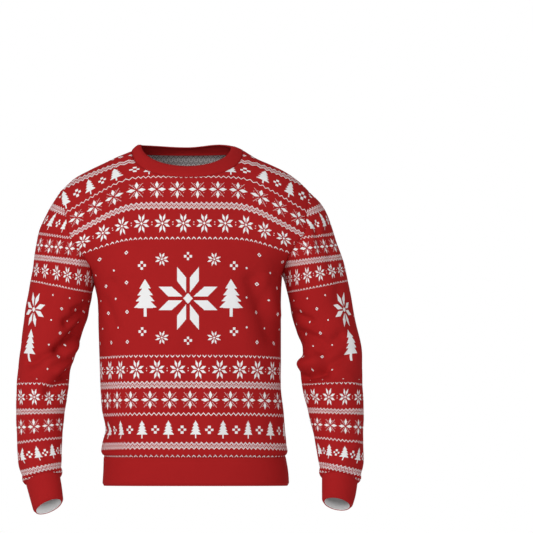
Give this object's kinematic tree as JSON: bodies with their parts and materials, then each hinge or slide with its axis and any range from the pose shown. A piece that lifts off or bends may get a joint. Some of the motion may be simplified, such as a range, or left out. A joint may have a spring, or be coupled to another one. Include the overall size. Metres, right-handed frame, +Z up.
{
  "type": "christmas sweater",
  "caption": "Crew-neck long-sleeve christmas sweater, printed red and white, filled out as if worn, open at neck, hem and cuffs.",
  "frame": {"origin": "centre of the base of the neck, on the line of the two shoulder seams, where the wearer's shoulders hold the sweater up", "axes": "+X to the wearer's left, the front faces -Y, +Z up"},
  "size_m": [0.6932, 0.2674, 0.7411],
  "materials": {
    "printed_knit": "smooth knit, red printed with white rows of traditional ornament, plain pale grey inside",
    "band_knit": "plain red knit bands, folded double",
    "seam_thread": "dark red sewing thread"
  },
  "bodies": {
    "root": {"front_panel": "printed_knit", "back_panel": "printed_knit", "sleeve_right": "printed_knit", "sleeve_left": "printed_knit", "neck_band": "band_knit", "cuff_right": "band_knit", "cuff_left": "band_knit", "hem_band": "band_knit"}
  },
  "joints": []
}
